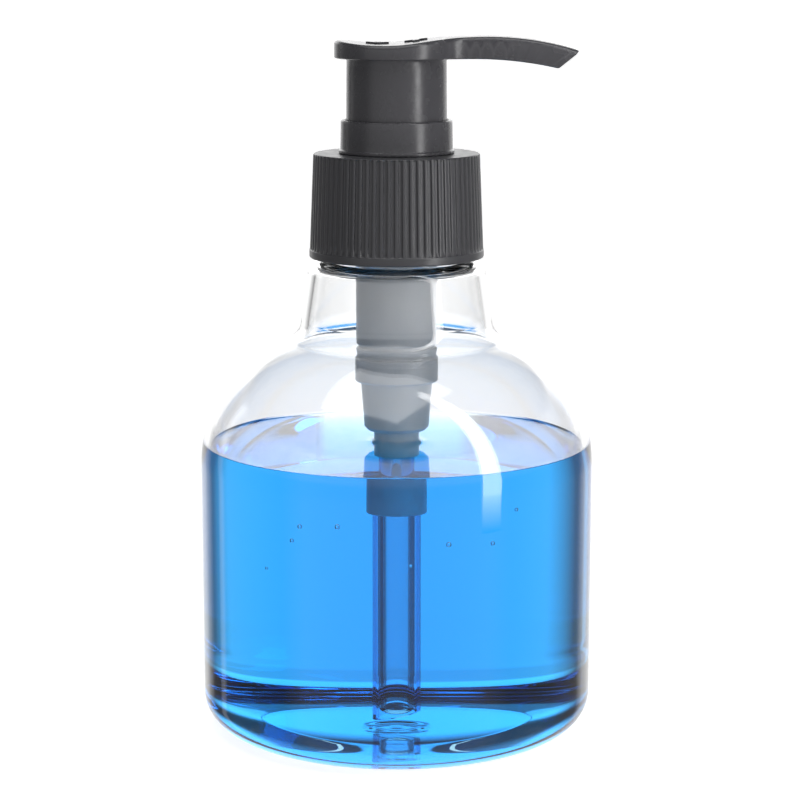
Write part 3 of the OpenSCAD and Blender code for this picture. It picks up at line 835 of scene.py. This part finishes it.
def floor():
    """A pale floor with a faint contact shadow, which only the camera sees.

    In and through the object there is a glowing patch under it, and past that no floor at all.
    """
    bpy.ops.mesh.primitive_plane_add(size=60, location=(0, 0, -0.0001))
    plane = bpy.context.object
    plane.name = "studio_floor"
    m, tree, shader, output = nodes_of("studio_floor")
    shader.inputs["Base Color"].default_value = (0.9, 0.9, 0.9, 1)
    shader.inputs["Roughness"].default_value = 0.9

    def new(kind, **inputs):
        node = tree.nodes.new(kind)
        for key, value in inputs.items():
            node.inputs[key].default_value = value
        return node

    def mixed(factor, first, second):
        node = tree.nodes.new("ShaderNodeMixShader")
        for socket, value in zip(node.inputs, (factor, first, second)):
            tree.links.new(value, socket)
        return node.outputs[0]

    place = tree.nodes.new("ShaderNodeTexCoord")
    length = tree.nodes.new("ShaderNodeVectorMath")
    length.operation = "LENGTH"
    tree.links.new(place.outputs["Object"], length.inputs[0])
    open_share = between(tree, length.outputs["Value"], 0.0, 1.0, 0.030, 0.042)
    under = new("ShaderNodeEmission", Strength=UNDER).outputs[0]
    seen_through = mixed(open_share, under, tree.nodes.new("ShaderNodeBsdfTransparent").outputs[0])
    lit = tree.nodes.new("ShaderNodeAddShader")
    tree.links.new(shader.outputs[0], lit.inputs[0])
    tree.links.new(new("ShaderNodeEmission", Strength=FLOOR_GLOW).outputs[0], lit.inputs[1])
    tree.links.new(mixed(seen_by_camera(tree), seen_through, lit.outputs[0]), output.inputs["Surface"])
    plane.data.materials.append(m)


def strip_light():
    """A tall strip light at the front right. It fades out at its lower end. The camera doesn't see it."""
    middle, half = Vector((92.5, -82.7, 0)), 11.4
    along = Vector((-middle.y, middle.x, 0)).normalized() * half
    corners = [middle - along, middle + along]
    points = [(c.x * MM, c.y * MM, z * MM) for z in (STRIP_FADE[0] / MM, 620) for c in corners]
    mesh = bpy.data.meshes.new("strip_right")
    mesh.from_pydata(points, [], [(0, 1, 3, 2)])
    m, tree, shader, output = nodes_of("strip_right")
    tree.nodes.remove(shader)
    place = tree.nodes.new("ShaderNodeTexCoord")
    split = tree.nodes.new("ShaderNodeSeparateXYZ")
    tree.links.new(place.outputs["Object"], split.inputs[0])
    glow = tree.nodes.new("ShaderNodeEmission")
    tree.links.new(between(tree, split.outputs[2], 0.0, STRIP_GLOW, *STRIP_FADE), glow.inputs["Strength"])
    tree.links.new(glow.outputs[0], output.inputs["Surface"])
    mesh.materials.append(m)
    obj = bpy.data.objects.new("strip_right", mesh)
    bpy.context.scene.collection.objects.link(obj)
    obj.visible_camera = False


def soft_light(name, place, size, watts, target):
    """A rectangular soft light that faces a point. The camera doesn't see it."""
    data = bpy.data.lights.new(name, "AREA")
    data.shape = "RECTANGLE"
    data.size, data.size_y = (s * MM for s in size)
    data.energy = watts
    obj = bpy.data.objects.new(name, data)
    bpy.context.scene.collection.objects.link(obj)
    obj.location = Vector(place) * MM
    obj.rotation_euler = (Vector(target) * MM - obj.location).to_track_quat("-Z", "Y").to_euler()
    obj.visible_camera = False


def camera():
    """The main view: from the front and slightly above, with the spout to the right."""
    data = bpy.data.cameras.new("main")
    data.sensor_width = 36
    data.lens = 110.43
    data.shift_x = 0.00425
    data.clip_start = 0.01
    obj = bpy.data.objects.new("main", data)
    bpy.context.scene.collection.objects.link(obj)
    obj.location = Vector((0, -450, 144)) * MM
    obj.rotation_euler = (radians(90 - 10.4), 0, 0)
    bpy.context.scene.camera = obj


def main():
    bottle()
    soap()
    closure()
    chaplet()
    housing()
    dip_tube()
    spring()
    head()
    for node, material, slot in (
        ("neck_gasket", foam, "gasket_foam"), ("stem_seal", waxy, "soft_ldpe"), ("piston", waxy, "soft_ldpe"),
        ("ball_cage", milky, "natural_pp"), ("stem", milky, "natural_pp"), ("poppet", milky, "natural_pp"),
        ("inlet_ball", steel, "steel"),
    ):
        obj = frame["nodes"][node]
        obj.data.materials.clear()
        obj.data.materials.append(material)
    world()
    floor()
    strip_light()
    soft_light("overhead", (-40, -60, 420), (300, 300), 0.5, (0, 0, 60))
    camera()
    scene = bpy.context.scene
    scene.view_settings.view_transform = "Standard"
    scene.cycles.max_bounces = 24
    scene.cycles.transmission_bounces = 20
    scene.cycles.glossy_bounces = 10
    scene.cycles.transparent_max_bounces = 16
    scene.cycles.caustics_refractive = True
    scene.cycles.sample_clamp_indirect = 6


main()
